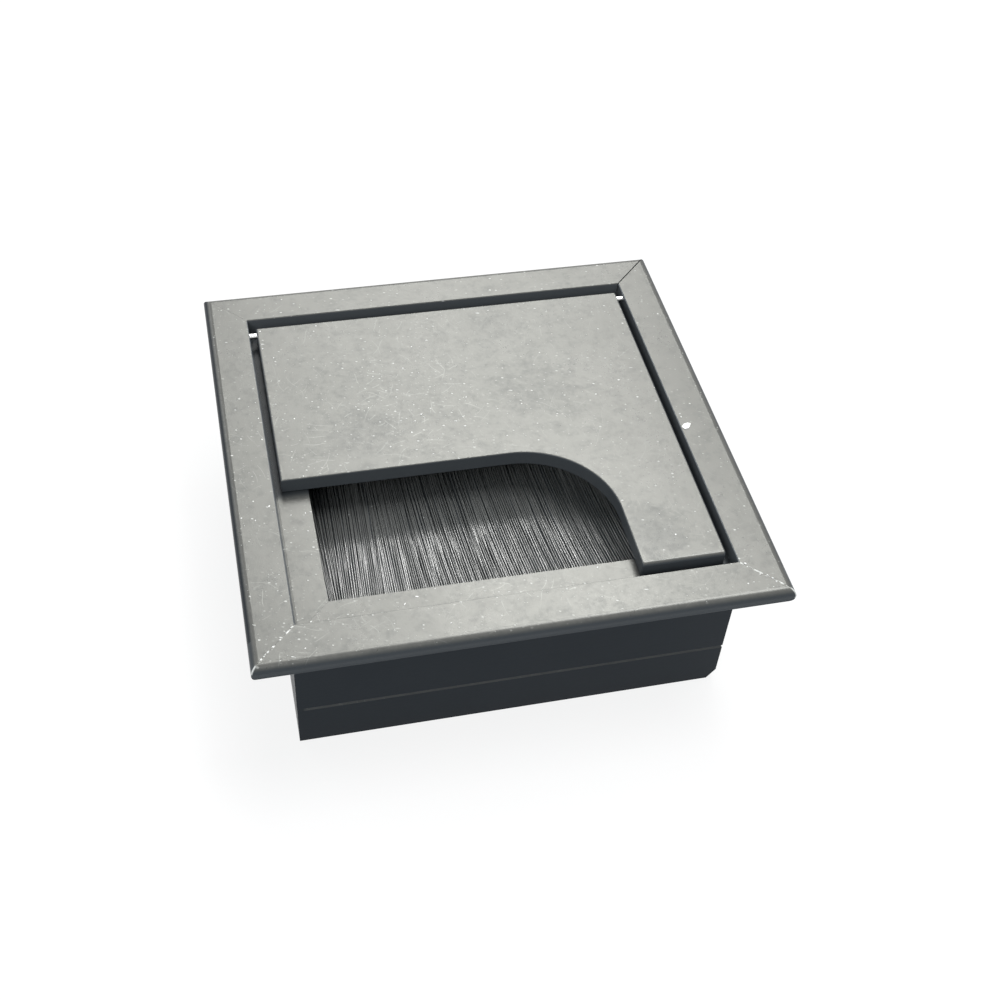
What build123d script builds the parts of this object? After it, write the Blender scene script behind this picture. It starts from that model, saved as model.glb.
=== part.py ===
"""Square desk cable grommet: mitred frame with a flange and skirt, L-shaped flap lid, strip brush.

Millimetres, +Z up, origin at the centre of the skirt's bottom edge. The front is towards -Y.
A point of the rail section is written (q, z): q is the distance out from the grommet's centre
line, z the height above the bottom edge. All four rails are cut from the same section.
"""
from build123d import *
import math
import os

# Frame, seen from above
cutout_width = 80.0         # square hole in the desk top
cutout_clearance = 0.2      # all round, between skirt and hole
flange_reach = 7.0          # flange's outer edge, out from the hole's edge
opening_step = 0.5          # flange's inner edge, out from the skirt's inner face
overall_height = 33.5       # top face to the skirt's bottom edge

# Flange
edge_round = 1.5            # top outer edge
lip_depth = 4.4             # top face to the lip that sits on the desk
lip_inset = 1.5             # lip's outer edge, in from the widest line
lip_wall = 1.6
flange_wall = 2.6
inner_break = 0.15          # bevel on the flange's inner edge

# Skirt
skirt_wall = 1.4
score_drop = 23.8           # top face to the middle of the V groove round the skirt
score_width = 0.7
score_depth = 0.3
trim_side = 1.6             # clipped bottom corner at the front right, along each side
trim_height = 2.4           # and up the corner

# Ledge under the lid
ledge_drop = 3.2            # top face to ledge
ledge_width = 6.3
ledge_wall = 1.2
relief_width = 0.6          # shallow strip along the ledge, next to the wall
relief_depth = 0.2
web_wall = 1.2

# Slot that takes the brush, below the corner keys
slot_height = 4.4
slot_lip_wall = 1.0
slot_lip_height = 0.8

# Channel for the corner keys, below the ledge
key_channel_height = 3.1
key_channel_width = 3.6
key_lip_wall = 0.8
key_lip_height = 0.7
key_arm = 18.0              # along each rail
key_clearance = 0.1
key_lead = 0.6              # bevel on the arm's end

# Open width of each mitre seam
seams = {"front_left": 0.02, "front_right": 0.03, "rear_right": 0.22, "rear_left": 0.02}

# Lid
lid_thickness = 3.0
lid_side_gap = 1.5
lid_rear_gap = 2.7
lid_front_gap = 2.3
lid_bridge = 42.4           # back edge to the edge of the cut
lid_leg_width = 15.4
notch_radius = 17.0
lid_edge_round = 0.3
lid_front_round = 0.8       # front edge of the leg
lid_back_relief = 0.8       # bevel under the back edge, so that it clears the ledge

# Hinge pins
pin_radius = 0.6
pin_inset = 1.0             # in from the lid's back edge
pin_drop = 1.15             # below the top face
pin_in_lid = 5.0
pin_in_rail = 2.4
pin_press = 0.01            # radial, in the lid
pin_running = 0.05          # radial, in the rails
pin_end_clearance = 0.2

# Strip brush
brush_end_clearance = 0.3   # each end, to the side ledges
backing_clearance = 0.1
backing_wall = 0.6
crimp_length = 1.4
bristle_thickness = 2.4
bristle_free = 48.0         # out of the backing
bristle_pitch = 0.9
bristle_groove = 0.25
bristle_stagger = 1.2       # how much the tips differ
bristle_clearance = 0.05
core_radius = 0.6
core_clearance = 0.02
core_inset = 1.1            # wire's middle, from the folded end of the bristles

# Derived lines
outer_half = cutout_width / 2 + flange_reach
skirt_half = cutout_width / 2 - cutout_clearance
inner_half = skirt_half - skirt_wall
opening_half = inner_half + opening_step
ledge_half = opening_half - ledge_width
top = overall_height
ledge_top = top - ledge_drop
key_top = ledge_top - ledge_wall
key_bottom = key_top - key_channel_height
key_mouth = inner_half - key_channel_width
key_inner = key_mouth - key_lip_wall
slot_top = key_bottom - web_wall
slot_bottom = slot_top - slot_height
web_bottom = slot_bottom - web_wall
slot_mouth = ledge_half + slot_lip_wall

lid_left = -opening_half + lid_side_gap
lid_right = opening_half - lid_side_gap
lid_back = opening_half - lid_rear_gap
lid_front = -opening_half + lid_front_gap
hinge_y = lid_back - pin_inset
hinge_z = top - pin_drop
bore_in_lid = pin_in_lid + pin_end_clearance
bore_in_rail = pin_in_rail + pin_end_clearance

parts = {}


def rail_face():
    """Section of a rail on the YZ plane, for the front rail."""
    lip_outer = outer_half - lip_inset
    lip_inner = lip_outer - lip_wall
    lip_z = top - lip_depth
    flange_under = top - flange_wall
    fall = lip_depth - edge_round
    under_radius = (lip_inset ** 2 + fall ** 2) / (2 * lip_inset)
    half_turn = math.asin(fall / under_radius) / 2
    bulge = (outer_half - under_radius * (1 - math.cos(half_turn)),
             top - edge_round - under_radius * math.sin(half_turn))
    score_z = top - score_drop
    diagonal = edge_round * (1 - math.sqrt(0.5))
    outside = [
        (lip_outer, lip_z), (lip_inner, lip_z), (lip_inner, flange_under), (skirt_half, flange_under),
        (skirt_half, score_z + score_width / 2), (skirt_half - score_depth, score_z),
        (skirt_half, score_z - score_width / 2), (skirt_half, 0), (inner_half, 0),
    ]
    brush_slot = [
        (inner_half, web_bottom), (ledge_half, web_bottom), (ledge_half, slot_bottom + slot_lip_height),
        (slot_mouth, slot_bottom + slot_lip_height), (slot_mouth, slot_bottom), (inner_half, slot_bottom),
        (inner_half, slot_top), (slot_mouth, slot_top), (slot_mouth, slot_top - slot_lip_height),
        (ledge_half, slot_top - slot_lip_height), (ledge_half, key_bottom),
    ]
    key_channel = [
        (key_inner, key_bottom), (key_inner, key_bottom + key_lip_height),
        (key_mouth, key_bottom + key_lip_height), (key_mouth, key_bottom), (inner_half, key_bottom),
        (inner_half, key_top), (key_mouth, key_top), (key_mouth, key_top - key_lip_height),
        (key_inner, key_top - key_lip_height), (key_inner, key_top),
    ]
    relief_edge = opening_half - relief_width
    relief_floor = ledge_top - relief_depth
    ledge = [
        (ledge_half, key_top), (ledge_half, ledge_top), (relief_edge, ledge_top), (relief_edge, relief_floor),
        (opening_half, relief_floor), (opening_half, top - inner_break), (opening_half + inner_break, top),
        (outer_half - edge_round, top),
    ]
    corners = [(-q, z) for q, z in outside + brush_slot + key_channel + ledge]
    round_mid = (-(outer_half - diagonal), top - diagonal)
    widest = (-outer_half, top - edge_round)
    with BuildSketch(Plane.YZ) as section:
        with BuildLine():
            Polyline(*corners)
            ThreePointArc(corners[-1], round_mid, widest)
            ThreePointArc(widest, (-bulge[0], bulge[1]), corners[0])
        make_face()
    return section.sketch


def mitred_rail(turn, left_seam, right_seam):
    """One rail, mitred at both ends with half of each corner's seam, then turned to its side."""
    bar = extrude(rail_face(), amount=outer_half, both=True)
    left = left_seam / math.sqrt(2)
    right = right_seam / math.sqrt(2)
    reach = outer_half + 1
    wedge = Polygon(
        (-reach + left, -reach), (reach - right, -reach),
        ((left - right) / 2, -(left + right) / 2), align=None)
    bar = bar & extrude(wedge, amount=overall_height, dir=(0, 0, 1))
    return Rot(0, 0, turn) * bar


def x_rod(x0, x1, y, z, radius):
    """Round rod along X between two points."""
    return Pos((x0 + x1) / 2, y, z) * Rot(0, 90, 0) * Cylinder(radius, abs(x1 - x0))


# Rails
rails = {
    "front_rail": mitred_rail(0, seams["front_left"], seams["front_right"]),
    "right_rail": mitred_rail(90, seams["front_right"], seams["rear_right"]),
    "rear_rail": mitred_rail(180, seams["rear_right"], seams["rear_left"]),
    "left_rail": mitred_rail(270, seams["rear_left"], seams["front_left"]),
}
trim_plane = Plane(
    origin=(skirt_half, -skirt_half, trim_height),
    z_dir=(1 / trim_side, -1 / trim_side, -1 / trim_height))
trim = trim_plane * Box(4 * trim_height, 4 * trim_height, trim_height, align=(Align.CENTER, Align.CENTER, Align.MIN))
for name in ("front_rail", "right_rail"):
    rails[name] = rails[name] - trim
for name, side in (("left_rail", -1), ("right_rail", 1)):
    bore = x_rod(side * (opening_half - 1), side * (opening_half + bore_in_rail),
                 hinge_y, hinge_z, pin_radius + pin_running)
    rails[name] = rails[name] - bore
parts.update(rails)


# Corner keys: flat L-shaped joiners, one arm in each of the two rails that meet
key_outer = inner_half - key_clearance
key_inside = key_mouth + key_clearance
key_height = key_channel_height - 2 * key_clearance
key_end = key_outer - key_arm


def corner_key(x_side, y_side):
    """L-shaped key for the corner on the given sides, with bevelled arm ends."""
    points = [
        (key_outer, key_outer), (key_outer, key_end + key_lead), (key_outer - key_lead, key_end),
        (key_inside + key_lead, key_end), (key_inside, key_end + key_lead), (key_inside, key_inside),
        (key_end + key_lead, key_inside), (key_end, key_inside + key_lead), (key_end, key_outer - key_lead),
        (key_end + key_lead, key_outer),
    ]
    flat = Polygon(*[(x_side * x, y_side * y) for x, y in points], align=None)
    return extrude(Pos(0, 0, key_bottom + key_clearance) * flat, amount=key_height, dir=(0, 0, 1))


for y_name, y_side in (("front", -1), ("rear", 1)):
    for x_name, x_side in (("left", -1), ("right", 1)):
        parts[f"corner_key_{y_name}_{x_name}"] = corner_key(x_side, y_side)


# Lid: flat plate with a rectangular cut at the front left, its inner corner rounded
def lid_plate():
    """Lid with its cut, rounded top edges, bevelled back underside and the two pin bores."""
    cut_y = lid_back - lid_bridge
    leg_x = lid_right - lid_leg_width
    centre = (leg_x - notch_radius, cut_y - notch_radius)
    reach = notch_radius * math.sqrt(0.5)
    with BuildSketch() as outline:
        with BuildLine():
            Polyline(
                (leg_x, centre[1]), (leg_x, lid_front), (lid_right, lid_front), (lid_right, lid_back),
                (lid_left, lid_back), (lid_left, cut_y), (centre[0], cut_y))
            ThreePointArc((centre[0], cut_y), (centre[0] + reach, centre[1] + reach), (leg_x, centre[1]))
        make_face()
    plate = extrude(Pos(0, 0, top - lid_thickness) * outline.sketch, amount=lid_thickness, dir=(0, 0, 1))
    leg_front = plate.faces().sort_by(Axis.Z)[-1].edges().sort_by(Axis.Y)[0]
    plate = fillet(leg_front, lid_front_round)
    plate = fillet(plate.faces().sort_by(Axis.Z)[-1].edges().sort_by(Axis.Y)[1:], lid_edge_round)
    under = plate.faces().sort_by(Axis.Z)[0].edges().sort_by(Axis.Y)[-1]
    plate = chamfer(under, lid_back_relief)
    for side, edge in ((-1, lid_left), (1, lid_right)):
        plate = plate - x_rod(edge + side, edge - side * bore_in_lid, hinge_y, hinge_z, pin_radius + pin_press)
    return plate


parts["lid"] = lid_plate()

# Hinge pins: pressed into the lid's sides, turning in the side rails
for name, side, edge in (("left", -1, lid_left), ("right", 1, lid_right)):
    parts[f"hinge_pin_{name}"] = x_rod(
        edge - side * pin_in_lid, side * (opening_half + pin_in_rail), hinge_y, hinge_z, pin_radius)


# Strip brush in the front rail's slot
brush_half = ledge_half - brush_end_clearance
brush_z = (slot_top + slot_bottom) / 2
backing_back = inner_half - backing_clearance
backing_mouth = slot_mouth + backing_clearance
backing_half_height = slot_height / 2 - backing_clearance
bristle_half = bristle_thickness / 2
mouth_half = bristle_half + bristle_clearance
bristle_root = backing_back - backing_wall - backing_clearance
bristle_tip = backing_mouth - bristle_free


def brush_backing():
    """Folded metal channel, crimped at its mouth on to the bristles."""
    crimp = backing_mouth + crimp_length
    upper = [
        (backing_back, backing_half_height), (crimp, backing_half_height),
        (backing_mouth, mouth_half + backing_wall), (backing_mouth, mouth_half),
        (crimp, backing_half_height - backing_wall), (backing_back - backing_wall, backing_half_height - backing_wall),
    ]
    outline = upper + [(q, -z) for q, z in reversed(upper)]
    face = Plane.YZ * Pos(0, brush_z) * Polygon(*[(-q, z) for q, z in outline], align=None)
    return extrude(face, amount=brush_half, both=True)


def bristle_comb():
    """Bristle pack as a ridged slab with staggered tips, folded round the core wire."""
    count = int(2 * brush_half / bristle_pitch)
    step = 2 * brush_half / count
    upper = [(-brush_half, bristle_half)]
    tips = [(-brush_half, -bristle_tip)]
    for i in range(count):
        x = -brush_half + i * step
        if i:
            upper.append((x, bristle_half - bristle_groove))
        upper.append((x + step / 2, bristle_half))
        shift = bristle_stagger * (0.5 + 0.3 * math.sin(1.9 * i) + 0.2 * math.sin(4.3 * i + 1))
        tips.append((x + step / 2, -bristle_tip - shift))
    upper.append((brush_half, bristle_half))
    tips.append((brush_half, -bristle_tip))
    comb = upper + [(x, -z) for x, z in reversed(upper)]
    length = bristle_root - bristle_tip
    section = Plane.XZ.offset(bristle_root) * Pos(0, brush_z) * Polygon(*comb, align=None)
    pack = extrude(section, amount=length, dir=(0, 1, 0))
    plan = tips + [(brush_half, -bristle_root), (-brush_half, -bristle_root)]
    pack = pack & extrude(Polygon(*plan, align=None), amount=overall_height, dir=(0, 0, 1))
    hole = x_rod(-brush_half - 1, brush_half + 1, -(bristle_root - core_inset), brush_z, core_radius + core_clearance)
    return pack - hole


parts["brush_backing"] = brush_backing()
parts["brush_bristles"] = bristle_comb()
parts["brush_core_wire"] = x_rod(-brush_half, brush_half, -(bristle_root - core_inset), brush_z, core_radius)

os.makedirs("parts", exist_ok=True)
for name, shape in parts.items():
    export_step(shape, f"parts/{name}.step")
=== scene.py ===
"""Square desk cable grommet: black anodised frame and flap lid, strip brush of black nylon.

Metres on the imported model, +Z up, front towards -Y. Places and sizes are written in millimetres, and MM
turns them into metres.
"""
import bpy
import math
import numpy as np
from mathutils import Matrix, Vector


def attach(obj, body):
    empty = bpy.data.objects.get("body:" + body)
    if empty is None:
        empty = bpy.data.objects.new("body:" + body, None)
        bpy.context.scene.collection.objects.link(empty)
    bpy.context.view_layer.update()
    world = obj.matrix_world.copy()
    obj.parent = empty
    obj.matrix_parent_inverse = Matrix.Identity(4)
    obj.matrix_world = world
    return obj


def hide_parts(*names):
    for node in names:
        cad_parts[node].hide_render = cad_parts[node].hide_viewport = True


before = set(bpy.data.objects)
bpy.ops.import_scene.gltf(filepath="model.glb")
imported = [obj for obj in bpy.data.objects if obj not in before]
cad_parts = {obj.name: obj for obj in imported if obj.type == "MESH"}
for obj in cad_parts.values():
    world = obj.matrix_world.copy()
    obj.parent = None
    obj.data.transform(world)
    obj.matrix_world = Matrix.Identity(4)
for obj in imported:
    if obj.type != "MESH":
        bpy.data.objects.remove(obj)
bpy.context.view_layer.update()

MM = 0.001
PER_METRE = 1000.0
ORIGIN = (0, 0, 0)

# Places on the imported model
TOP = 33.5              # flange, rails and lid
LEDGE = 30.3            # ledge under the lid
BRUSH = 22.6            # middle plane of the bristles
GROOVE = 9.7            # middle of the groove round the skirt
GROOVE_HALF = 0.36      # half its height
OPENING = 39.4          # half width of the lid's opening, a little outside its walls
WINDOW = 32.15          # half width of the brush's window
CUT_RIGHT = 22.0        # right side of the lid's cut
CUT_BACK = -7.5         # back side of the lid's cut
FRONT_RIM = -41.0       # the flange's front edge lies in front of this
MITRE_REAR = -38.0      # the front mitres lie in front of this
STRIP_LEFT = -38.85     # shallow strip along the left ledge, next to the wall
STRIP_RIGHT = -38.35
STRIP_END = -38.2


# Node helpers

def put(tree, kind, values=None, **settings):
    """Add a node, set its properties, and fill its inputs with numbers or with other nodes' outputs."""
    node = tree.nodes.new(kind)
    for key, value in settings.items():
        setattr(node, key, value)
    for key, value in (values or {}).items():
        if isinstance(value, bpy.types.NodeSocket):
            tree.links.new(value, node.inputs[key])
        else:
            node.inputs[key].default_value = value
    return node


def calc(tree, operation, *terms):
    """One step of arithmetic, as a socket."""
    return put(tree, "ShaderNodeMath", dict(enumerate(terms)), operation=operation).outputs[0]


def clamp01(tree, value):
    """The value held between 0 and 1."""
    return put(tree, "ShaderNodeClamp", {"Value": value}).outputs[0]


def smooth(tree, value, low, high, to_low=0.0, to_high=1.0):
    """S-curve from to_low at low to to_high at high."""
    return put(tree, "ShaderNodeMapRange", {"Value": value, "From Min": low, "From Max": high,
                                            "To Min": to_low, "To Max": to_high},
               interpolation_type="SMOOTHSTEP").outputs["Result"]


def chain(tree, operation, first, *others):
    """All the terms joined by one operation, from the left, as a socket."""
    for term in others:
        first = calc(tree, operation, first, term)
    return first


def times(tree, *terms):
    """Product of all the terms, as a socket."""
    return chain(tree, "MULTIPLY", *terms)


def plus(tree, *terms):
    """Sum of all the terms, as a socket."""
    return chain(tree, "ADD", *terms)


def most(tree, *terms):
    """Greatest of all the terms, as a socket."""
    return chain(tree, "MAXIMUM", *terms)


def left_of(tree, value):
    """1 less the value, as a socket."""
    return calc(tree, "SUBTRACT", 1.0, value)


def below(tree, value, limit):
    """1 where the value is under the limit, and 0 elsewhere."""
    return calc(tree, "LESS_THAN", value, limit)


def blend(tree, factor, first, second):
    """Colour between two, by a mask. A mix node's colours have the input numbers 6 and 7, and output 2."""
    return put(tree, "ShaderNodeMix", {0: factor, 6: first, 7: second}, data_type="RGBA").outputs[2]


def vector_step(tree, operation, first, second):
    """One step of arithmetic on vectors, as a socket."""
    return put(tree, "ShaderNodeVectorMath", {0: first, 1: second}, operation=operation).outputs[0]


def scaled(tree, vector, factor):
    """The vector times a number, as a socket."""
    return put(tree, "ShaderNodeVectorMath", {0: vector, "Scale": factor}, operation="SCALE").outputs[0]


def in_mm(tree, place):
    """A place given in metres, in millimetres."""
    return scaled(tree, place, PER_METRE)


def flat_mm(tree, place):
    """A place given in metres, in millimetres and seen from above."""
    return vector_step(tree, "MULTIPLY", place, (PER_METRE, PER_METRE, 0))


def turn_flat(tree, place, angle):
    """The place turned about the upright axis."""
    return put(tree, "ShaderNodeVectorRotate", {"Vector": place, "Angle": angle},
               rotation_type="Z_AXIS").outputs[0]


def split(tree, vector):
    """The x, y and z of a vector, as three sockets."""
    return put(tree, "ShaderNodeSeparateXYZ", {0: vector}).outputs


def noise(tree, place, scale, detail, **settings):
    """Noise from 0 to 1, as a socket."""
    return put(tree, "ShaderNodeTexNoise", {"Vector": place, "Scale": scale, "Detail": detail},
               **settings).outputs[0]


def square_reach(tree, x, y):
    """The greater of |x| and |y|, which is the same all along a square round the middle."""
    return most(tree, calc(tree, "ABSOLUTE", x), calc(tree, "ABSOLUTE", y))


def effect(name, inputs, output):
    """An empty shader node group with named inputs and one output: (tree, input sockets, output socket)."""
    tree = bpy.data.node_groups.new(name, "ShaderNodeTree")
    for label, value in inputs.items():
        kind = "NodeSocketVector" if isinstance(value, tuple) else "NodeSocketFloat"
        tree.interface.new_socket(label, in_out="INPUT", socket_type=kind).default_value = value
    tree.interface.new_socket(output, in_out="OUTPUT", socket_type="NodeSocketFloat")
    source = tree.nodes.new("NodeGroupInput")
    end = tree.nodes.new("NodeGroupOutput")
    return tree, source.outputs, end.inputs[output]


def use(tree, group, values):
    """Place an effect in a material with this material's own values, and give its output socket."""
    return put(tree, "ShaderNodeGroup", values, node_tree=group).outputs[0]


# Effects that several finishes share

def sand_grain():
    """Even matt texture: two noises, one about twice as coarse, averaged."""
    tree, given, out = effect("Sand grain", {"Vector": ORIGIN, "Size mm": 0.3}, "Value")
    scale = calc(tree, "DIVIDE", PER_METRE, given["Size mm"])
    fine = noise(tree, given["Vector"], scale, 1.0)
    coarse = noise(tree, given["Vector"], times(tree, scale, 0.45), 2.0)
    tree.links.new(times(tree, plus(tree, fine, coarse), 0.5), out)
    return tree


def die_lines():
    """Faint level streaks left along an extrusion: noise that changes with height, hardly along the rail."""
    tree, given, out = effect("Die lines", {"Vector": ORIGIN, "Pitch mm": 0.5}, "Value")
    squeezed = vector_step(tree, "MULTIPLY", given["Vector"], (0.012, 0.012, 1.0))
    tree.links.new(noise(tree, squeezed, calc(tree, "DIVIDE", PER_METRE, given["Pitch mm"]), 2.0), out)
    return tree


def soft_blotches():
    """Handling marks: slow noise with its contrast raised, 0 to 1."""
    tree, given, out = effect("Soft blotches", {"Vector": ORIGIN, "Size mm": 12.0}, "Value")
    cloudy = put(tree, "ShaderNodeTexNoise", {
        "Vector": given["Vector"], "Scale": calc(tree, "DIVIDE", PER_METRE, given["Size mm"]),
        "Detail": 3.0, "Roughness": 0.55, "Distortion": 0.4}).outputs[0]
    tree.links.new(smooth(tree, cloudy, 0.3, 0.7), out)
    return tree


def settled_specks():
    """Dust specks on a level face. The face is cut into random cells, some cells hold one speck each, and a
    point is covered where its distance from the cell's middle is under the speck's own radius, with a
    ragged rim. Most are faint and few are bright. Stretch makes lint of specks, and Turn gives its
    direction."""
    tree, given, out = effect("Settled specks", {
        "Vector": ORIGIN, "Spacing mm": 1.5, "Share": 0.4, "Radius mm": 0.12, "Stretch": 1.0, "Turn": 0.0},
        "Cover")
    flat = flat_mm(tree, given["Vector"])
    ragged = noise(tree, flat, 7.0, 1.0, noise_dimensions="2D")
    turned = turn_flat(tree, flat, given["Turn"])
    shrink = put(tree, "ShaderNodeCombineXYZ", {0: calc(tree, "DIVIDE", 1.0, given["Stretch"]), 1: 1.0, 2: 0.0})
    stretched = vector_step(tree, "MULTIPLY", turned, shrink.outputs[0])
    cells = put(tree, "ShaderNodeTexVoronoi",
                {"Vector": stretched, "Scale": calc(tree, "DIVIDE", 1.0, given["Spacing mm"])},
                voronoi_dimensions="2D").outputs
    chance = put(tree, "ShaderNodeSeparateColor", {0: cells["Color"]}).outputs
    holds = below(tree, chance[0], given["Share"])
    size = smooth(tree, calc(tree, "POWER", chance[1], 2.0), 0.0, 1.0, 0.45, 1.5)
    own = times(tree, given["Radius mm"], size)
    waver = times(tree, calc(tree, "SUBTRACT", ragged, 0.5), given["Radius mm"])
    far = plus(tree, times(tree, cells["Distance"], given["Spacing mm"]), waver)
    inside = calc(tree, "DIVIDE", calc(tree, "SUBTRACT", own, far), times(tree, own, 0.5))
    strength = plus(tree, 0.10, times(tree, calc(tree, "POWER", chance[2], 5.0), 0.90))
    tree.links.new(times(tree, clamp01(tree, inside), holds, strength), out)
    return tree


def hairlines():
    """Fine scratches. The face is bent a little by noise, turned and cut into long random cells; some cells
    hold one line through their middle, of random length."""
    tree, given, out = effect("Hairlines", {
        "Vector": ORIGIN, "Turn": 0.0, "Length mm": 6.0, "Spacing mm": 1.6, "Width mm": 0.05, "Share": 0.3},
        "Cover")
    flat = flat_mm(tree, given["Vector"])
    sway = put(tree, "ShaderNodeTexNoise", {"Vector": flat, "Scale": 0.18, "Detail": 0.0},
               noise_dimensions="2D")
    bent = vector_step(tree, "ADD", flat, scaled(tree, sway.outputs["Color"], 2.4))
    shrink = put(tree, "ShaderNodeCombineXYZ", {
        0: calc(tree, "DIVIDE", 1.0, given["Length mm"]),
        1: calc(tree, "DIVIDE", 1.0, given["Spacing mm"]), 2: 0.0})
    cell_space = vector_step(tree, "MULTIPLY", turn_flat(tree, bent, given["Turn"]), shrink.outputs[0])
    cells = put(tree, "ShaderNodeTexVoronoi", {"Vector": cell_space, "Scale": 1.0},
                voronoi_dimensions="2D").outputs
    along, across, _ = split(tree, vector_step(tree, "SUBTRACT", cell_space, cells["Position"]))
    chance = put(tree, "ShaderNodeSeparateColor", {0: cells["Color"]}).outputs
    holds = below(tree, chance[0], given["Share"])
    off = times(tree, calc(tree, "ABSOLUTE", across), given["Spacing mm"])
    thin = clamp01(tree, left_of(tree, calc(tree, "DIVIDE", off, given["Width mm"])))
    reach = times(tree, chance[1], 0.45)
    ends = clamp01(tree, times(tree, calc(tree, "SUBTRACT", reach, calc(tree, "ABSOLUTE", along)), 12.0))
    tree.links.new(times(tree, thin, ends, holds), out)
    return tree


def looking_up():
    """1 on faces that look up, 0 on upright and lower faces, from the object's own normal: the mask of the
    painted sheen. Edges rounded to the sides lose it sooner than those rounded to the front, as painted shade."""
    tree, given, out = effect("Looking up", {"Normal": (0, 0, 1)}, "Value")
    x, _, z = split(tree, given["Normal"])
    sideways = times(tree, calc(tree, "ABSOLUTE", x), 0.5)
    tree.links.new(smooth(tree, calc(tree, "SUBTRACT", z, sideways), 0.28, 0.92), out)
    return tree


def hand_mark():
    """A soft round patch, 1 in its middle and 0 outside its half sizes, with a wavering rim."""
    tree, given, out = effect("Hand mark", {"Vector": ORIGIN, "Middle mm": ORIGIN, "Half size mm": (1, 1, 1)},
                              "Value")
    place = in_mm(tree, given["Vector"])
    away = vector_step(tree, "SUBTRACT", place, given["Middle mm"])
    share = vector_step(tree, "DIVIDE", away, given["Half size mm"])
    far = put(tree, "ShaderNodeVectorMath", {0: share}, operation="LENGTH").outputs["Value"]
    waver = calc(tree, "SUBTRACT", noise(tree, place, 0.22, 2.0), 0.5)
    tree.links.new(smooth(tree, plus(tree, far, times(tree, waver, 0.8)), 0.45, 1.1, 1.0, 0.0), out)
    return tree


def mitre_dust():
    """Pale crumbs caught along the two front mitres: near the lines |x| = |y|, broken up by noise. Over the
    rounded edge the rubbed ridge of the mitre shows as an unbroken pale line."""
    tree, given, out = effect("Mitre dust", {"Vector": ORIGIN, "Width mm": 0.25}, "Cover")
    place = in_mm(tree, given["Vector"])
    x, y, z = split(tree, place)
    off = calc(tree, "ABSOLUTE", calc(tree, "SUBTRACT", calc(tree, "ABSOLUTE", x), calc(tree, "ABSOLUTE", y)))
    near = clamp01(tree, left_of(tree, calc(tree, "DIVIDE", off, given["Width mm"])))
    broken = smooth(tree, noise(tree, place, 1.1, 3.0), 0.48, 0.62)
    ridge = times(tree, smooth(tree, z, TOP - 0.25, TOP - 0.05, 1.0, 0.0),
                  smooth(tree, z, TOP - 1.5, TOP - 1.1))
    front = times(tree, below(tree, y, MITRE_REAR), calc(tree, "GREATER_THAN", z, TOP - 2.0))
    tree.links.new(times(tree, near, most(tree, broken, ridge), front), out)
    return tree


def lid_shade_mask():
    """1 on what the closed lid covers (in the opening, below its top, outside its cut), and somewhat less
    than half below the flange. There it takes away the painted sheen, as painted shade, and keeps dust off."""
    tree, given, out = effect("Lid shade", {"Vector": ORIGIN}, "Value")
    x, y, z = split(tree, in_mm(tree, given["Vector"]))
    covered = most(tree, smooth(tree, x, CUT_RIGHT - 0.5, CUT_RIGHT + 0.5),
                   smooth(tree, y, CUT_BACK - 1.0, CUT_BACK + 1.0))
    inside = times(tree, below(tree, z, LEDGE + 1.0), below(tree, square_reach(tree, x, y), OPENING))
    # Painted shade: less sheen below the flange
    under_flange = times(tree, below(tree, z, TOP - 6.0), 0.45)
    tree.links.new(most(tree, times(tree, covered, inside), under_flange), out)
    return tree


def painted_wall_fill():
    """Painted fill light on upright faces, a pale grey for light that does not reach them: 1 on the walls
    round the lid, some on the flange's front edge, more at its top than lower down, and in the groove round
    the skirt, 0 elsewhere."""
    tree, given, out = effect("Edge film", {"Vector": ORIGIN, "Looks up": 0.0}, "Value")
    x, y, z = split(tree, in_mm(tree, given["Vector"]))
    high = calc(tree, "GREATER_THAN", z, LEDGE - 2.0)
    walls = times(tree, below(tree, square_reach(tree, x, y), OPENING), high)
    # Painted light: paler towards the top of the flange's front edge
    rim = times(tree, below(tree, y, FRONT_RIM), smooth(tree, z, TOP - 4.5, TOP - 2.0, 0.0, 0.33))
    groove = below(tree, calc(tree, "ABSOLUTE", calc(tree, "SUBTRACT", z, GROOVE)), GROOVE_HALF)
    some = most(tree, rim, times(tree, groove, 0.18))
    tree.links.new(times(tree, most(tree, walls, some), left_of(tree, given["Looks up"])), out)
    return tree


GRAIN, LINES, BLOTCH = sand_grain(), die_lines(), soft_blotches()
SPECKS, HAIRS, UP, MITRE = settled_specks(), hairlines(), looking_up(), mitre_dust()
LID_SHADE, WALL_FILL, HAND = lid_shade_mask(), painted_wall_fill(), hand_mark()


# Finishes

DYE_DEEP, DYE_THIN = (0.0040, 0.0085, 0.0135, 1), (0.0060, 0.0105, 0.0155, 1)
# Pale grey painted on the shaded walls as fill light
FILL_GREY = (0.132, 0.143, 0.152, 1)
# Pale grey painted on faces that look up, as their sheen
SHEEN_GREY = (0.116, 0.1165, 0.110, 1)
RUBBED = (0.40, 0.41, 0.39, 1)
DUST = (0.80, 0.81, 0.79, 1)
MOTE = (0.60, 0.61, 0.60, 1)


def new_material(name):
    """A material with a Principled BSDF: (material, tree, shader, texture coordinates)."""
    material = bpy.data.materials.new(name)
    material.use_nodes = True
    tree = material.node_tree
    tree.nodes.clear()
    shader = put(tree, "ShaderNodeBsdfPrincipled")
    put(tree, "ShaderNodeOutputMaterial", {"Surface": shader.outputs[0]})
    return material, tree, shader, put(tree, "ShaderNodeTexCoord").outputs


def relief(tree, shader, height, depth):
    """Fine relief on the surface, with the depth in millimetres of a height of 1."""
    bump = put(tree, "ShaderNodeBump", {"Strength": 1.0, "Distance": depth * MM, "Height": height})
    tree.links.new(bump.outputs[0], shader.inputs["Normal"])


def patch(tree, place, x, y, half_x, half_y):
    """A hand mark on the top face, by its middle and half sizes."""
    return use(tree, HAND, {"Vector": place, "Middle mm": (x, y, TOP), "Half size mm": (half_x, half_y, 9.0)})


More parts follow.
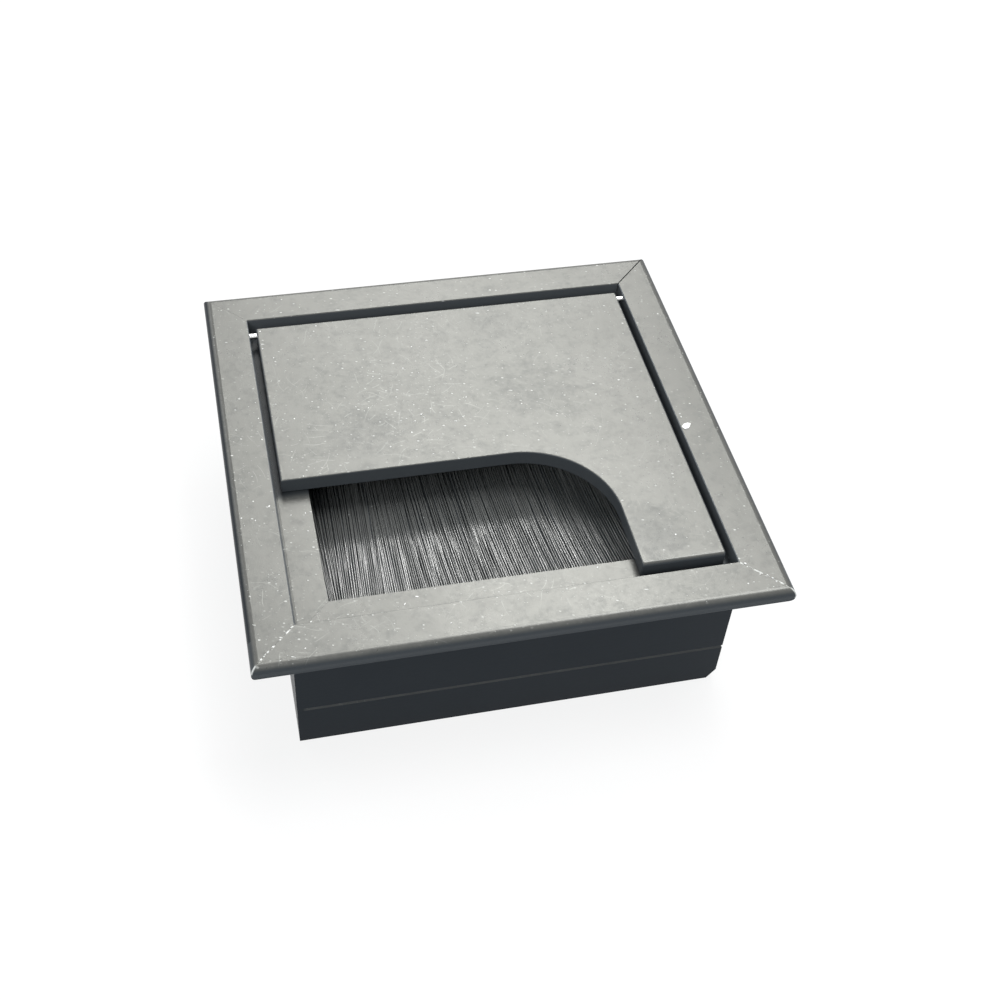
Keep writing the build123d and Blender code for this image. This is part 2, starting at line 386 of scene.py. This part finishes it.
def dust_drifts(tree, place, moved, dusted):
    """Where dust gathers: in drifts, more to the left, and fully in the dusted places."""
    to_left = smooth(tree, split(tree, place)[0], -42.0 * MM, 15.0 * MM, 0.8, 0.3)
    drift = times(tree, use(tree, BLOTCH, {"Vector": moved, "Size mm": 9.0}), to_left)
    return most(tree, drift, *[patch(tree, place, *spot) for spot in dusted])


def dust_cover(tree, moved, drift, dust):
    """Round specks, fine specks, lint and fibres, more of them in the drifts."""
    share = plus(tree, times(tree, drift, 0.40 * dust), 0.015 * dust)
    kinds = (       # spacing, share of cells, radius, stretch, turn, strength
        (1.5, share, 0.15, 1.0, 0.0, 1.0),
        (0.75, plus(tree, share, 0.25), 0.13, 1.6, 0.25, 0.5),
        (1.9, times(tree, share, 0.7), 0.12, 3.2, 0.2, 0.9),
        (2.3, times(tree, share, 0.5), 0.10, 6.0, 2.2, 0.8),
    )
    covers = [
        times(tree, use(tree, SPECKS, {"Vector": moved, "Spacing mm": spacing, "Share": cells,
                                       "Radius mm": radius, "Stretch": stretch, "Turn": turn}), strength)
        for spacing, cells, radius, stretch, turn, strength in kinds]
    return most(tree, *covers)


def scratch_cover(tree, moved, scratched):
    """Four sets of fine scratches, each in a direction of its own."""
    sets = ((0.35, 7.0, 0.30), (1.25, 5.0, 0.26), (2.1, 8.0, 0.22), (2.75, 4.0, 0.30))    # turn, length, share
    covers = [use(tree, HAIRS, {"Vector": moved, "Turn": turn, "Length mm": length, "Spacing mm": 1.9,
                                "Width mm": 0.08, "Share": share * scratched})
              for turn, length, share in sets]
    return most(tree, *covers)


def painted_top_sheen(tree, place, moved, sheen_and_dust_faces, handled):
    """Painted sheen on faces that look up: 1 on average, mottled, less along the shallow strip at the
    ledge's left side, as painted shade by the wall, and in the handled places."""
    x, _, z = split(tree, place)
    mottle = use(tree, GRAIN, {"Vector": moved, "Size mm": 0.75})
    marks = use(tree, BLOTCH, {"Vector": moved, "Size mm": 3.2})
    painted_sheen = times(tree, plus(tree, times(tree, marks, 0.10), times(tree, mottle, 0.55), 0.675), sheen_and_dust_faces)
    # Painted shade: a darker line along the foot of the left wall, where the ledge meets it
    strip = times(tree, smooth(tree, x, STRIP_LEFT * MM, STRIP_RIGHT * MM, 0.75, 0.1),
                  below(tree, z, (LEDGE - 0.08) * MM), below(tree, x, STRIP_END * MM))
    painted_sheen = times(tree, painted_sheen, left_of(tree, strip))
    for *spot, strength in handled:
        painted_sheen = times(tree, painted_sheen, left_of(tree, times(tree, patch(tree, place, *spot), strength)))
    return painted_sheen


def anodised(name, shift, dust=1.0, scratched=1.0, mitred=0.0, fill_strength=0.8, dusted=(), handled=()):
    """Black anodised aluminium, satin. Faces that look up get a painted sheen, pale grey and half metallic, so
    they shine more and paler than the black sides; what the closed lid covers loses it, as painted shade.
    They carry specks of dust, lint and fine scratches. Pale grey on the walls round the lid, on the flange's
    front edge and in the groove is painted fill light. Shift moves the patterns, so no two pieces match.
    Dusted places, as x, y and half sizes, hold more dust and scratches. Handled places, which give a
    strength too, are smudges with less of the sheen, so a little darker."""
    material, tree, shader, coordinates = new_material(name)
    place, normal = coordinates["Object"], coordinates["Normal"]
    moved = put(tree, "ShaderNodeMapping", {"Vector": place, "Location": [v * MM for v in shift]}).outputs[0]
    up = use(tree, UP, {"Normal": normal})
    # Painted fill light on the shaded walls round the lid, the flange's front edge and the groove
    painted_fill = times(tree, use(tree, WALL_FILL, {"Vector": place, "Looks up": up}), fill_strength)
    # Painted shade: what the closed lid covers loses the sheen
    shade_under_lid = use(tree, LID_SHADE, {"Vector": place})
    sheen_and_dust_faces = times(tree, up, left_of(tree, times(tree, shade_under_lid, 0.8)))
    grain = use(tree, GRAIN, {"Vector": moved, "Size mm": 0.32})
    lines = use(tree, LINES, {"Vector": moved, "Pitch mm": 0.55})
    marks = use(tree, BLOTCH, {"Vector": moved, "Size mm": 13.0})
    drift = dust_drifts(tree, place, moved, dusted)
    specks = times(tree, dust_cover(tree, moved, drift, dust), smooth(tree, sheen_and_dust_faces, 0.5, 0.95))
    if mitred:
        specks = most(tree, specks, use(tree, MITRE, {"Vector": place, "Width mm": mitred}))
    scratch = times(tree, scratch_cover(tree, moved, scratched), sheen_and_dust_faces,
                    smooth(tree, drift, 0.0, 0.8, 0.2, 1.0))
    # Painted sheen on faces that look up, less under the lid
    painted_sheen = painted_top_sheen(tree, place, moved, sheen_and_dust_faces, handled)

    # Painted fill light blended over the black dye
    with_fill = blend(tree, painted_fill, blend(tree, marks, DYE_DEEP, DYE_THIN), FILL_GREY)
    # Painted sheen: faces that look up turn pale grey
    rubbed = blend(tree, times(tree, scratch, 0.24), blend(tree, painted_sheen, with_fill, SHEEN_GREY), RUBBED)
    tree.links.new(blend(tree, times(tree, specks, 0.9), rubbed, DUST), shader.inputs["Base Color"])
    # Painted sheen: faces that look up are also made half metallic
    shine = times(tree, painted_sheen, 0.51, left_of(tree, times(tree, specks, 0.6)))
    tree.links.new(clamp01(tree, shine), shader.inputs["Metallic"])

    # The underside is duller than the rest
    duller = smooth(tree, split(tree, normal)[2], -0.30, 0.10, 0.40, 0.0)
    rough = plus(tree, 0.285, times(tree, marks, 0.03), times(tree, calc(tree, "SUBTRACT", grain, 0.5), 0.12),
                 times(tree, specks, 0.4), duller)
    tree.links.new(clamp01(tree, rough), shader.inputs["Roughness"])
    relief(tree, shader, plus(tree, grain, times(tree, lines, 0.5), times(tree, specks, 6.0)), 0.008)
    shader.inputs["IOR"].default_value = 1.45
    shader.inputs["Specular IOR Level"].default_value = 0.13
    return material


def bare_steel(name, colour, stretch, roughness):
    """Bright drawn or rolled metal: fine streaks along one axis in colour, roughness and height."""
    material, tree, shader, coordinates = new_material(name)
    place = coordinates["Object"]
    streak = noise(tree, vector_step(tree, "MULTIPLY", place, stretch), 6000.0, 3.0)
    stain = use(tree, BLOTCH, {"Vector": place, "Size mm": 4.0})
    dark = tuple(0.72 * c for c in colour) + (1,)
    tint = blend(tree, smooth(tree, streak, 0.3, 0.7), dark, tuple(colour) + (1,))
    tree.links.new(blend(tree, times(tree, stain, 0.25), tint, dark), shader.inputs["Base Color"])
    uneven = smooth(tree, streak, 0.25, 0.75, roughness + 0.08, roughness - 0.04)
    tree.links.new(uneven, shader.inputs["Roughness"])
    relief(tree, shader, streak, 0.006)
    shader.inputs["Metallic"].default_value = 1.0
    return material


def nylon(name, dark, pale, roughness, glossy, moted):
    """Drawn nylon. The mesh's own attribute "tone", 0 to 1, makes one bristle paler and glossier than the
    next, and a slow noise along each bristle makes it a little uneven. Motes of dust lie on it."""
    material, tree, shader, coordinates = new_material(name)
    place = coordinates["Object"]
    shade = noise(tree, vector_step(tree, "MULTIPLY", place, (1.0, 0.12, 1.0)), 3600.0, 1.0)
    motes = use(tree, SPECKS, {"Vector": place, "Spacing mm": 1.5, "Share": moted, "Radius mm": 0.15})
    own = put(tree, "ShaderNodeAttribute", attribute_name="tone").outputs["Fac"]
    tone = plus(tree, times(tree, own, 0.8), times(tree, shade, 0.2))
    toned = blend(tree, tone, dark + (1,), pale + (1,))
    tree.links.new(blend(tree, times(tree, motes, 0.8), toned, MOTE), shader.inputs["Base Color"])
    tree.links.new(smooth(tree, shade, 0.3, 0.7, roughness, roughness + 0.06), shader.inputs["Roughness"])
    tree.links.new(times(tree, own, glossy), shader.inputs["Coat Weight"])
    relief(tree, shader, shade, 0.002)
    shader.inputs["IOR"].default_value = 1.65
    shader.inputs["Coat IOR"].default_value = 2.4
    shader.inputs["Coat Roughness"].default_value = 0.10
    return material


def pale_crumb(name):
    """Off-white dust and plastic crumbs, matt, mottled."""
    material, tree, shader, coordinates = new_material(name)
    mottle = use(tree, GRAIN, {"Vector": coordinates["Object"], "Size mm": 0.15})
    tone = blend(tree, smooth(tree, mottle, 0.35, 0.65), (0.74, 0.74, 0.72, 1), (0.93, 0.93, 0.92, 1))
    tree.links.new(tone, shader.inputs["Base Color"])
    tree.links.new(smooth(tree, mottle, 0.3, 0.7, 0.55, 0.8), shader.inputs["Roughness"])
    return material


def dress(node, material):
    """Give a CAD node its finish."""
    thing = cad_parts[node]
    if not thing.data.materials:
        thing.data.materials.append(material)
    for index in range(len(thing.material_slots)):
        thing.material_slots[index].material = material


dress("front_rail", anodised("Front rail anodised", (3.1, 7.7, 1.3), dust=1.1, mitred=0.30,
                             dusted=[(-40.0, -41.0, 9.0, 8.0), (0.0, -37.0, 16.0, 5.0)]))
dress("right_rail", anodised("Right rail anodised", (-41.3, 13.9, 5.1), dust=0.8, scratched=0.7,
                             mitred=0.28))
dress("rear_rail", anodised("Rear rail anodised", (17.9, -23.7, 9.3), dust=0.6))
dress("left_rail", anodised("Left rail anodised", (29.3, 31.1, 2.9), dust=1.3, mitred=0.30))
dress("lid", anodised(
    "Lid anodised", (-11.7, 5.3, 7.7), scratched=1.4, fill_strength=0.48, dusted=[(-11.0, 10.0, 17.0, 17.0)],
    handled=[(15.0, 11.0, 10.5, 9.5, 0.07), (11.2, 29.6, 6.5, 5.0, 0.07),
             (-21.0, 4.0, 10.0, 7.0, 0.08), (26.5, -29.5, 7.5, 8.0, 0.13)]))
mill = bare_steel("Mill aluminium", (0.78, 0.79, 0.80), (0.05, 1.0, 1.0), 0.36)
for corner in ("front_left", "front_right", "rear_left", "rear_right"):
    dress(f"corner_key_{corner}", mill)
pin_steel = bare_steel("Hinge pin steel", (0.86, 0.86, 0.85), (1.0, 0.2, 0.2), 0.22)
for side in ("left", "right"):
    dress(f"hinge_pin_{side}", pin_steel)
dress("brush_backing", bare_steel("Folded steel strip", (0.60, 0.61, 0.62), (0.04, 1.0, 1.0), 0.34))
dress("brush_core_wire", bare_steel("Core wire", (0.62, 0.62, 0.61), (0.04, 1.0, 1.0), 0.30))


# Pieces

def make_piece(name, points, faces, material, smooth_faces=True):
    """A mesh object at the origin, from an array of points and lists of point numbers for its faces."""
    mesh = bpy.data.meshes.new(name)
    mesh.from_pydata(points.tolist(), [], faces)
    mesh.polygons.foreach_set("use_smooth", np.full(len(mesh.polygons), smooth_faces))
    mesh.materials.append(material)
    mesh.update()
    thing = bpy.data.objects.new(name, mesh)
    bpy.context.scene.collection.objects.link(thing)
    return thing


def tube_faces(count, rows, sides):
    """Faces of many closed tubes. Point (tube, row, side) has number (tube * rows + row) * sides + side; each
    wall face joins two sides and two rows, and each end is one face over its whole ring. All the walls
    come first, then the first ends, then the last ends."""
    tube, row, side = np.meshgrid(np.arange(count), np.arange(rows - 1), np.arange(sides), indexing="ij")
    here = (tube * rows + row) * sides + side
    beside = (tube * rows + row) * sides + (side + 1) % sides
    walls = np.stack([here, beside, beside + sides, here + sides], -1)
    ring = np.arange(sides)
    start = (np.arange(count) * rows * sides)[:, None]
    first = start + ring[::-1]
    last = start + (rows - 1) * sides + ring
    return walls.reshape(-1, 4).tolist() + first.tolist() + last.tolist()


def bristles():
    """The strip of bristles, as one array (bristle, row, side), in six layers.

    Centre line: x = root + lean * (way out from the backing, levelling off under the lid) + a gather shared
    by neighbours + the bristle's own stray; y runs from behind the core wire to the tip; z goes round the
    wire, settles in its layer and tilts by the bristle's own slope. The ring is a circle of the bristle's
    radius in the x-z plane, drawn in at the tip. Four layers lie close together, the lowest ones thicker,
    and shut off what is below; the two on top are spaced more widely, gather into wisps and lean a little
    to opposite sides, so they cross. These two are glossy and paler grey, with dust and painted light; the
    other four are duller and darker, as painted shade.
    """
    draw = np.random.default_rng(11)
    counts = np.array([240, 240, 240, 240, 110, 146])
    starts = np.array([-32.1, -31.97, -32.1, -31.97, -31.9, -31.8])     # leftmost root of each layer
    rightmost = 31.95
    crowd = np.array([1, 1, 1, 1, 1.25, 1.12])                          # above 1, more stand at the left
    height = np.array([-0.85, -0.50, -0.10, 0.30, 0.66, 0.92])          # of each layer over the middle plane
    thickness = np.array([0.20, 0.20, 0.16, 0.13, 0.125, 0.135])        # radius of its bristles
    mouth = -33.7                                                       # where they leave the backing
    level_off = 30.0                                                    # way out over which the lean fades
    pack_half = 1.06                                                    # half the height of the whole strip
    sides = 6
    station = np.array([-37.45, -36.95, -36.2, -34.4, -29.0, -22.5, -15.0, -4.0, 14.3])
    rows = len(station)
    layer = np.repeat(np.arange(6), counts)
    total = len(layer)
    upper = layer > 3
    root = np.concatenate([start + (rightmost - start) * np.linspace(0, 1, count) ** power
                           for start, count, power in zip(starts, counts, crowd)])
    loose = np.where(upper, 1.0, 0.1)
    root = root + draw.normal(0, 0.015, total)
    y = np.tile(station, (total, 1))
    y[:, -1] -= draw.uniform(0, 1.4, total)

    # Sideways lean, as slope, read along the strip; the lower layers stand against the side walls
    lean = np.interp(root, [-32, -31, -29.5, -27, -20, -10, 10, 20, 26, 32],
                     [-0.03, -0.01, 0.05, 0.08, 0.03, -0.055, -0.11, -0.14, -0.135, -0.12])
    lean = np.where(upper, lean, lean * np.interp(np.abs(root), [22, 31], [1.0, 0.0]))
    lean = lean + loose * (draw.normal(0, 0.003, total) + 0.020 * np.where(layer % 2 == 0, 1, -1))
    out = np.clip(y - mouth, 0, None)
    way = level_off * np.tanh(out / level_off)
    gather = sum(np.sin(root * pitch + phase + 0.9 * layer) * size
                 for pitch, phase, size in ((0.9, 0.4, 0.08), (2.3, 1.9, 0.06), (4.6, 2.7, 0.03)))
    gather = gather * np.interp(root, [-32, -24, -16, 0, 32], [1.4, 1.8, 1.2, 0.8, 0.7]) * loose
    astray = draw.uniform(size=total) < 0.03
    stray = draw.normal(0, 0.025, total) * loose + draw.normal(0, 0.35, total) * astray * upper
    x = root[:, None] + lean[:, None] * way + (gather + stray)[:, None] * (out / 22) ** 1.3
    x = np.clip(x, -WINDOW, WINDOW)

    # Half the layers pass over the wire and half under it
    side_of_wire = np.where(layer < 3, -1.0, 1.0)
    at_wire = side_of_wire * 0.74 + (layer - np.where(layer < 3, 2.0, 3.0)) * 0.15
    wrap = np.array([0.25, 0.85, 1.0, 1.0, 0, 0, 0, 0, 0])
    between = np.array([0, 0, 0, 0, 0.25, 0, 0, 0, 0])
    settled = np.array([0, 0, 0, 0, 0.75, 1, 1, 1, 1])
    z = BRUSH + at_wire[:, None] * (wrap + between) + height[layer][:, None] * settled
    slope = draw.normal(0, 0.014, total) * np.interp(root, [-32, -10, 32], [1.8, 1.0, 0.8]) * loose
    z = z + np.clip((y + 26) * slope[:, None], -0.2, 0.2) * (y > -33)
    z = z + draw.normal(0, 0.02, total)[:, None] * settled
    z = np.clip(z, BRUSH - pack_half, BRUSH + pack_half)

    angle = np.arange(sides) / sides * 2 * np.pi
    shrink = np.ones(rows)
    shrink[-1] = 0.6
    radius = thickness[layer] * draw.uniform(0.93, 1.05, total) * MM
    ring = radius[:, None, None] * shrink[:, None]
    px = x[..., None] * MM + ring * np.cos(angle)
    pz = z[..., None] * MM + ring * np.sin(angle)
    py = np.broadcast_to((y * MM)[..., None], px.shape)
    points = np.stack([px, py, pz], -1).reshape(-1, 3)
    # Painted light and shade: the four lower layers get a darker nylon, as painted shade, and the top two a
    # paler one, with dust and painted light
    duller = nylon("Shaded black nylon", (0.066, 0.074, 0.080), (0.092, 0.102, 0.110), 0.42, 0.0, 0.0)
    lit_dusty_nylon = nylon("Lit dusty nylon", (0.096, 0.099, 0.097), (0.160, 0.163, 0.158), 0.14, 1.0, 0.12)
    piece = make_piece("bristles", points, tube_faces(total, rows, sides), duller)
    piece.data.materials.append(lit_dusty_nylon)
    index = np.concatenate([np.repeat(upper, (rows - 1) * sides), upper, upper])
    piece.data.polygons.foreach_set("material_index", index.astype(np.int32))
    tone = np.repeat(draw.uniform(0, 1, total) ** 1.2, rows * sides)
    piece.data.attributes.new("tone", "FLOAT", "POINT").data.foreach_set("value", tone.astype(np.float32))
    return piece


def crumbs(name, places, seed, material):
    """Small pale crumbs lying on a face, as one array (crumb, row, side).

    Each is a low closed lump: rows of a ring at radius * (0.9, 1, 0.55) and height * (0, 0.4, 1), the first
    sunk a little, where the radius changes at random with the side, stretched along one direction. Places
    are x, y, z of the face, half length, half width, height and turn in degrees.
    """
    draw = np.random.default_rng(seed)
    x0, y0, face, half_length, half_width, height, degrees = np.array(places, float).T[..., None, None]
    sides = 8
    angle = np.arange(sides) / sides * 2 * np.pi
    rows = np.array([0.9, 1.0, 0.55])[:, None] * draw.uniform(0.72, 1.15, (len(places), 1, sides))
    u = rows * np.cos(angle) * half_length
    v = rows * np.sin(angle) * half_width
    turn = np.radians(degrees)
    x = x0 + u * np.cos(turn) - v * np.sin(turn)
    y = y0 + u * np.sin(turn) + v * np.cos(turn)
    sunk = np.array([-0.02, 0.0, 0.0])[:, None]
    z = np.broadcast_to(face + (sunk + np.array([0, 0.4, 1.0])[:, None] * height), x.shape)
    points = np.stack([x, y, z], -1).reshape(-1, 3) * MM
    return make_piece(name, points, tube_faces(len(places), 3, sides), material, smooth_faces=False)


brush = bristles()
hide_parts("brush_bristles")
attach(brush, "frame")

crumb = pale_crumb("Pale crumbs")
frame_crumbs = crumbs("frame_crumbs", [
    # x, y, face, half length, half width, height, turn
    (40.05, -4.85, TOP, 1.15, 0.75, 0.20, 25),      # the large one, at the right rail's inner edge
    (-42.93, -42.85, TOP, 0.15, 0.11, 0.08, 30),    # along the front left mitre
    (-43.83, -43.80, TOP, 0.20, 0.13, 0.10, 50),
    (-44.51, -44.56, TOP, 0.14, 0.10, 0.08, 10),
    (-45.08, -45.06, TOP, 0.19, 0.14, 0.10, 45),
    (39.9, -39.5, TOP, 0.26, 0.16, 0.10, -40),      # along the front right mitre
    (41.68, -42.25, TOP, 0.13, 0.09, 0.07, -20),
    (42.89, -42.72, TOP, 0.20, 0.10, 0.08, -45),
    (43.56, -43.45, TOP, 0.22, 0.12, 0.09, -50),
    (44.0, -44.3, TOP, 0.18, 0.11, 0.08, -40),
    (-36.4, -11.9, LEDGE, 0.14, 0.09, 0.06, 15),    # on the ledge
    (-33.8, -11.8, LEDGE, 0.22, 0.07, 0.05, 95),
    (-33.9, -16.1, LEDGE, 0.13, 0.11, 0.06, 0),
    (-17.5, -34.2, LEDGE, 0.34, 0.14, 0.06, -25),
    (-19.8, -35.4, LEDGE, 0.26, 0.10, 0.05, 60),
    (-37.8, -44.1, TOP, 0.13, 0.10, 0.07, 20),      # on the rails
    (-42.84, -15.0, TOP, 0.18, 0.10, 0.07, 70),
    (-45.2, -14.0, TOP, 0.14, 0.11, 0.06, 0),
    (-40.1, -12.0, TOP, 0.24, 0.12, 0.07, 60),
    (-13.4, -43.2, TOP, 0.13, 0.12, 0.07, 0),
], 5, crumb)
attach(frame_crumbs, "frame")
lid_crumbs = crumbs("lid_crumbs", [
    (-36.7, 35.2, TOP, 0.20, 0.13, 0.10, 35),
    (-36.8, 29.9, TOP, 0.15, 0.12, 0.09, 10),
    (-34.9, 27.0, TOP, 0.26, 0.07, 0.06, 75),
    (-9.3, 6.6, TOP, 0.30, 0.11, 0.09, 40),
    (-10.8, 5.0, TOP, 0.24, 0.08, 0.07, 20),
    (-8.9, 5.8, TOP, 0.20, 0.08, 0.07, -50),
    (-18.9, 10.0, TOP, 0.16, 0.08, 0.06, 60),
    (-13.2, 12.1, TOP, 0.13, 0.10, 0.06, 0),
    (0.1, 9.9, TOP, 0.24, 0.06, 0.06, 70),
    (-3.1, 3.8, TOP, 0.22, 0.09, 0.07, -45),
    (-1.7, 2.2, TOP, 0.22, 0.09, 0.07, -10),
    (5.4, 5.7, TOP, 0.16, 0.08, 0.06, -30),
    (29.8, 16.5, TOP, 0.20, 0.05, 0.04, 5),
], 6, crumb)
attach(lid_crumbs, "lid")

# Floor, light and camera

def backdrop_rays(tree):
    """1 for rays that see the backdrop, straight, in a reflection or through glass, and 0 for rays that
    bring light."""
    path = tree.nodes.new("ShaderNodeLightPath").outputs
    return most(tree, path["Is Camera Ray"], path["Is Glossy Ray"], path["Is Transmission Ray"])


def paper_floor():
    """A plain pale floor far wider than the object. As a backdrop it is mostly plain white, and keeps a
    light shadow."""
    mesh = bpy.data.meshes.new("floor")
    mesh.from_pydata([(-3, -3, 0), (3, -3, 0), (3, 3, 0), (-3, 3, 0)], [], [(0, 1, 2, 3)])
    floor = bpy.data.objects.new("floor", mesh)
    bpy.context.scene.collection.objects.link(floor)
    material = bpy.data.materials.new("White paper")
    material.use_nodes = True
    tree = material.node_tree
    tree.nodes.clear()
    fibre = noise(tree, put(tree, "ShaderNodeTexCoord").outputs["Object"], 900.0, 2.0)
    tone = blend(tree, fibre, (0.86, 0.86, 0.86, 1), (0.90, 0.90, 0.90, 1))
    matt = put(tree, "ShaderNodeBsdfDiffuse", {"Color": tone})
    white = put(tree, "ShaderNodeEmission", {"Color": (1, 1, 1, 1), "Strength": 1.0})
    seen = times(tree, backdrop_rays(tree), 0.84)
    both = put(tree, "ShaderNodeMixShader", {0: seen, 1: matt.outputs[0], 2: white.outputs[0]})
    tree.links.new(both.outputs[0], put(tree, "ShaderNodeOutputMaterial").inputs["Surface"])
    mesh.materials.append(material)


def softbox(name, heading, elevation, width, height, radiance, colour):
    """A rectangular lamp that looks at the middle of the top face from a little over a metre. Heading is
    measured from the rear (+Y) towards the right (+X), in degrees. Power is radiance times pi times area."""
    distance = 1.1
    lamp = bpy.data.lights.new(name, "AREA")
    lamp.shape = "RECTANGLE"
    lamp.size, lamp.size_y = width, height
    lamp.energy = radiance * math.pi * width * height
    lamp.color = colour
    thing = bpy.data.objects.new(name, lamp)
    bpy.context.scene.collection.objects.link(thing)
    a, e = math.radians(heading), math.radians(elevation)
    way = Vector((math.sin(a) * math.cos(e), math.cos(a) * math.cos(e), math.sin(e)))
    middle = Vector((0, 0, TOP * MM))
    facing = way.to_track_quat("Z", "Y").to_matrix().to_4x4()
    thing.matrix_world = Matrix.Translation(middle + way * distance) @ facing


def pale_surroundings():
    """White as a backdrop and in reflections, weak and slightly cool as light."""
    world = bpy.data.worlds.new("Surroundings")
    world.use_nodes = True
    tree = world.node_tree
    tree.nodes.clear()
    light = put(tree, "ShaderNodeBackground", {"Color": (0.90, 0.96, 1.0, 1), "Strength": 0.36})
    white = put(tree, "ShaderNodeBackground", {"Color": (1, 1, 1, 1), "Strength": 1.0})
    both = put(tree, "ShaderNodeMixShader", {
        0: backdrop_rays(tree), 1: light.outputs[0], 2: white.outputs[0]})
    tree.links.new(both.outputs[0], put(tree, "ShaderNodeOutputWorld").inputs["Surface"])
    bpy.context.scene.world = world


def place_camera():
    """Camera at the photograph's viewing angle: turned and raised about a point near the front of the top
    face, close to the object, rolled a few degrees. The values are fitted to edges read in the photograph."""
    turn, rise, roll = -0.27857033, 0.827321362, 0.0801339126
    distance = 0.254582315
    aim = Vector((0.693062, -17.480554, TOP)) * MM
    back = Vector((math.sin(turn) * math.cos(rise), -math.cos(turn) * math.cos(rise), math.sin(rise)))
    right = Vector((math.cos(turn), math.sin(turn), 0))
    up = back.cross(right)
    across = right * math.cos(roll) + up * math.sin(roll)
    upward = up * math.cos(roll) - right * math.sin(roll)
    camera = bpy.data.cameras.new("Camera")
    camera.sensor_width = 36.0
    camera.lens = 50.835
    camera.clip_start = 0.005
    thing = bpy.data.objects.new("Camera", camera)
    bpy.context.scene.collection.objects.link(thing)
    pose = Matrix((across, upward, back)).transposed().to_4x4()
    pose.translation = aim + back * distance
    thing.matrix_world = pose
    bpy.context.scene.camera = thing


paper_floor()
pale_surroundings()
daylight = (1.0, 1.0, 0.98)
for lamp in [       # name, heading, elevation, width, height, radiance, colour
    ("window", 11.3, 43.6, 0.448, 0.570, 6.35, daylight),
    ("overhead", 31.3, 60.8, 0.337, 0.551, 7.46, daylight),
    ("top", 30.0, 84.0, 0.40, 0.40, 4.5, daylight),
    ("right_fill", 88.0, 68.0, 0.45, 0.42, 10.0, (0.99, 0.995, 1.0)),
    ("left_fill", 212.0, 37.0, 0.55, 0.40, 6.0, (0.95, 0.98, 1.0)),
    ("left_glow", 322.0, 25.0, 0.45, 0.40, 2.0, (0.98, 0.99, 1.0)),
]:
    softbox(*lamp)
place_camera()
bpy.context.scene.view_settings.view_transform = "Standard"
